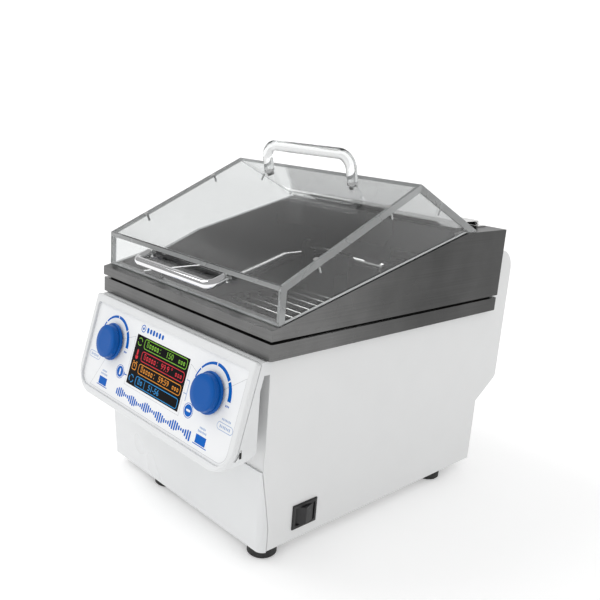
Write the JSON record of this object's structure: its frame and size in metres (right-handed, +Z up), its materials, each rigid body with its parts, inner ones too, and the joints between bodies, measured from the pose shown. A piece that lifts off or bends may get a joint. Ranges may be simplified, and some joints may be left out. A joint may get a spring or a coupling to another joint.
{
  "type": "shaking water bath",
  "caption": "Bench-top shaking water bath with a stainless tank, a hinged clear gable lid, a side-to-side tray, a sloped control panel with knobs and a display, and a rear drive.",
  "frame": {"origin": "middle of the bounding box in plan, on the bench under the feet", "axes": "+Z up, +Y from the control panel to the rear housing, +X to the right of the operator facing the panel"},
  "size_m": [0.29, 0.4408, 0.3914],
  "materials": {
    "white_paint": "satin powder coat",
    "white_plastic": "moulded, satin",
    "brushed_stainless": "brushed",
    "bright_steel": "polished",
    "zinc_steel": "zinc plated",
    "clear_acrylic": "polished clear sheet",
    "chrome_plate": "polished",
    "printed_film": "printed, fine matt",
    "display_glass": "black, glossy",
    "blue_plastic": "blue, satin gloss",
    "black_plastic": "fine texture",
    "black_rubber": "moulded",
    "grey_rubber": "moulded",
    "circuit_board": "solder mask"
  },
  "bodies": {
    "base": {"base_pan": "zinc_steel", "control_bezel": "white_plastic", "control_board": "circuit_board", "control_bolts": "zinc_steel", "control_box": "white_plastic", "control_spacers": "black_plastic", "cover_gasket": "grey_rubber", "display_module": "circuit_board", "display_window": "display_glass", "drain_nut": "zinc_steel", "drain_spigot": "bright_steel", "drive_housing": "white_paint", "encoders": "zinc_steel", "fascia_film": "printed_film", "feet": "black_rubber", "foot_screws": "zinc_steel", "front_plate": "white_paint", "front_shell": "white_plastic", "gear_motor": "zinc_steel", "guide_shafts": "bright_steel", "heater_element": "bright_steel", "heater_glands": "zinc_steel", "hinge_leaf_cover": "brushed_stainless", "hinge_pin": "bright_steel", "inlet_screws": "zinc_steel", "ledge_pad": "black_rubber", "motor_bracket": "zinc_steel", "power_board": "circuit_board", "power_inlet": "black_plastic", "rear_panel": "white_paint", "rim_band": "brushed_stainless", "side_panel_left": "white_paint", "side_panel_right": "white_paint", "switch_frame": "black_plastic", "tank": "brushed_stainless", "temperature_probe": "bright_steel", "wedge_cover": "brushed_stainless"},
    "lid": {"lid_front_plate": "clear_acrylic", "lid_front_slope": "clear_acrylic", "lid_rear_slope": "clear_acrylic", "lid_side_left": "clear_acrylic", "lid_side_right": "clear_acrylic", "lid_screws": "zinc_steel", "top_handle": "clear_acrylic", "front_handle": "chrome_plate", "handle_screws": "zinc_steel", "hinge_leaf_lid": "brushed_stainless"},
    "tray": {"tray": "brushed_stainless", "tray_rods": "bright_steel", "slide_blocks": "black_plastic", "drive_sleeve": "bright_steel", "tray_straps": "brushed_stainless", "drive_arm": "bright_steel"},
    "crank": {"crank_disc": "zinc_steel"},
    "rocker": {"switch_rocker": "black_plastic"},
    "left_shaft": {"encoder_shaft_left": "bright_steel"},
    "left_knob": {"knob_left": "blue_plastic"},
    "right_shaft": {"encoder_shaft_right": "bright_steel"},
    "right_knob": {"knob_right": "blue_plastic"}
  },
  "joints": [
    {"name": "lid_hinge", "type": "hinge", "parent": "base", "child": "lid", "pos_m": [0, 0.15243, 0.3146], "axis": [-1, 0, 0], "range_deg": [0, 95]},
    {"name": "tray_slide", "type": "slide", "parent": "base", "child": "tray", "axis": [1, 0, 0], "range_m": [-0.01, 0.01]},
    {"name": "crank_turn", "type": "hinge", "parent": "base", "child": "crank", "pos_m": [0, 0.19843, 0.236], "axis": [0, 0, 1], "continuous": true},
    {"name": "switch_rock", "type": "hinge", "parent": "base", "child": "rocker", "pos_m": [0.133, -0.11727, 0.0386], "axis": [0, 0, 1], "range_deg": [0, 24]},
    {"name": "left_knob_push", "type": "slide", "parent": "base", "child": "left_shaft", "axis": [0, 0.9659, -0.2588], "range_m": [0, 0.001], "stiffness_N_per_m": 3000, "springref_m": -0.0003},
    {"name": "left_knob_turn", "type": "hinge", "parent": "left_shaft", "child": "left_knob", "pos_m": [-0.0878, -0.20731, 0.16959], "axis": [0, -0.9659, 0.2588], "continuous": true},
    {"name": "right_knob_push", "type": "slide", "parent": "base", "child": "right_shaft", "axis": [0, 0.9659, -0.2588], "range_m": [0, 0.001], "stiffness_N_per_m": 3000, "springref_m": -0.0003},
    {"name": "right_knob_turn", "type": "hinge", "parent": "right_shaft", "child": "right_knob", "pos_m": [0.0878, -0.20731, 0.16959], "axis": [0, -0.9659, 0.2588], "continuous": true}
  ]
}
